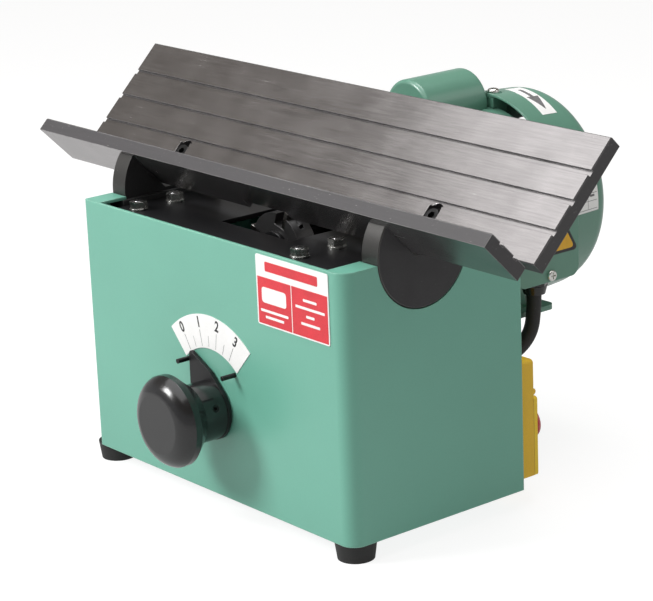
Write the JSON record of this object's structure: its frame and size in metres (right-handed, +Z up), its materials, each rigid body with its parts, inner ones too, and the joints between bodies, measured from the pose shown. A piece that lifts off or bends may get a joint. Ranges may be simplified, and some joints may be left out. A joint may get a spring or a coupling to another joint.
{
  "type": "bench-top edge chamfering machine",
  "caption": "Bench-top edge chamfering machine: V-shaped tilting table over a rotary cutter, with a motor behind and a depth knob on the front of its cabinet.",
  "frame": {"origin": "under the centre of the machine's bounding box, on the bench surface", "axes": "+X along the table, +Y to the rear where the motor is, +Z up"},
  "size_m": [0.457, 0.3374, 0.261],
  "materials": {
    "cabinet_paint": "satin",
    "motor_paint": "satin",
    "black_enamel": "gloss",
    "zinc_sheet": "satin",
    "zinc_hardware": "polished",
    "ground_steel": "satin",
    "table_steel": "satin",
    "dark_steel": "satin",
    "black_oxide": "satin",
    "black_iron": "matte",
    "core_steel": "matte",
    "cast_aluminium": "satin",
    "bronze": "satin",
    "copper_wire": "satin",
    "carbide": "satin",
    "black_rubber": "matte",
    "black_plastic": "gloss",
    "yellow_plastic": "satin",
    "red_plastic": "gloss",
    "green_plastic": "gloss",
    "white_label": "satin",
    "red_label": "satin"
  },
  "bodies": {
    "cabinet": {"cabinet_shell": "cabinet_paint", "base_plate": "zinc_sheet", "rear_panel": "cabinet_paint", "panel_screws": "zinc_hardware", "rubber_feet": "black_rubber", "frame_screws": "zinc_hardware", "deck_plate": "black_enamel", "guide_posts": "ground_steel", "deck_nuts": "zinc_hardware", "saddle_blocks": "black_iron", "tilt_clamps": "zinc_hardware", "control_bushing": "bronze", "bearing_block": "black_iron", "stop_pins": "black_oxide", "dial_plate": "white_label", "front_label": "red_label", "switch_base": "yellow_plastic", "contact_block": "black_plastic", "lead_grommets": "black_rubber", "mains_gland": "black_plastic"},
    "start_button": {"start_button": "green_plastic"},
    "table": {"trunnion_left": "dark_steel", "trunnion_right": "dark_steel", "short_plate": "table_steel", "plate_screws": "black_oxide"},
    "fence": {"fence_plate": "table_steel"},
    "depth_control": {"knob": "black_plastic", "knob_hub": "black_plastic", "pointer": "black_enamel", "control_shaft": "ground_steel", "eccentric_cam": "dark_steel", "set_screws": "black_oxide"},
    "carriage": {"lift_plate": "ground_steel", "guide_bushes": "bronze", "motor_mount_plate": "black_enamel", "mount_screws": "black_oxide", "front_bell": "motor_paint", "motor_shell": "motor_paint", "stator_core": "core_steel", "end_windings": "copper_wire", "rear_bell": "cast_aluminium", "tie_bolts": "zinc_hardware", "bearings": "ground_steel", "fan_cover": "motor_paint", "cover_screws": "zinc_hardware", "capacitor_cover": "motor_paint", "capacitor": "cast_aluminium", "terminal_box": "motor_paint", "terminal_cover": "motor_paint", "cable_gland": "black_plastic", "motor_lead": "black_rubber", "motor_foot": "motor_paint"},
    "spindle": {"motor_shaft": "ground_steel", "rotor": "core_steel", "cooling_fan": "black_plastic", "cutter_body": "dark_steel", "cutter_inserts": "carbide", "cutter_fasteners": "black_oxide"},
    "flap": {"switch_flap": "yellow_plastic"},
    "stop_button": {"stop_button": "red_plastic"}
  },
  "joints": [
    {"name": "table_tilt", "type": "hinge", "parent": "cabinet", "child": "table", "pos_m": [0, -0.05985, 0.189], "axis": [1, 0, 0], "range_deg": [0, 15]},
    {"name": "fence_slide", "type": "slide", "parent": "table", "child": "fence", "axis": [0, 0.7071, 0.7071], "range_m": [-0.004, 0.004]},
    {"name": "depth_turn", "type": "hinge", "parent": "cabinet", "child": "depth_control", "pos_m": [0, -0.05135, 0.071], "axis": [0, 1, 0], "range_deg": [0, 60]},
    {"name": "carriage_lift", "type": "slide", "parent": "cabinet", "child": "carriage", "axis": [0, 0, 1], "range_m": [0, 0.003], "deforming": ["motor_lead"]},
    {"name": "spindle_spin", "type": "hinge", "parent": "carriage", "child": "spindle", "pos_m": [0, -0.05135, 0.1648], "axis": [0, 1, 0], "continuous": true},
    {"name": "flap_open", "type": "hinge", "parent": "cabinet", "child": "flap", "pos_m": [0.108, 0.03925, 0.072], "axis": [1, 0, 0], "range_deg": [0, 110]},
    {"name": "stop_press", "type": "slide", "parent": "flap", "child": "stop_button", "axis": [0, -1, 0], "range_m": [0, 0.0025], "stiffness_N_per_m": 800, "springref_m": -0.003},
    {"name": "start_press", "type": "slide", "parent": "cabinet", "child": "start_button", "axis": [0, -1, 0], "range_m": [0, 0.003], "stiffness_N_per_m": 800, "springref_m": -0.002}
  ],
  "couplings": [
    {"joint": "depth_turn", "follows": "carriage_lift", "rad_per_m": 349.06}
  ]
}
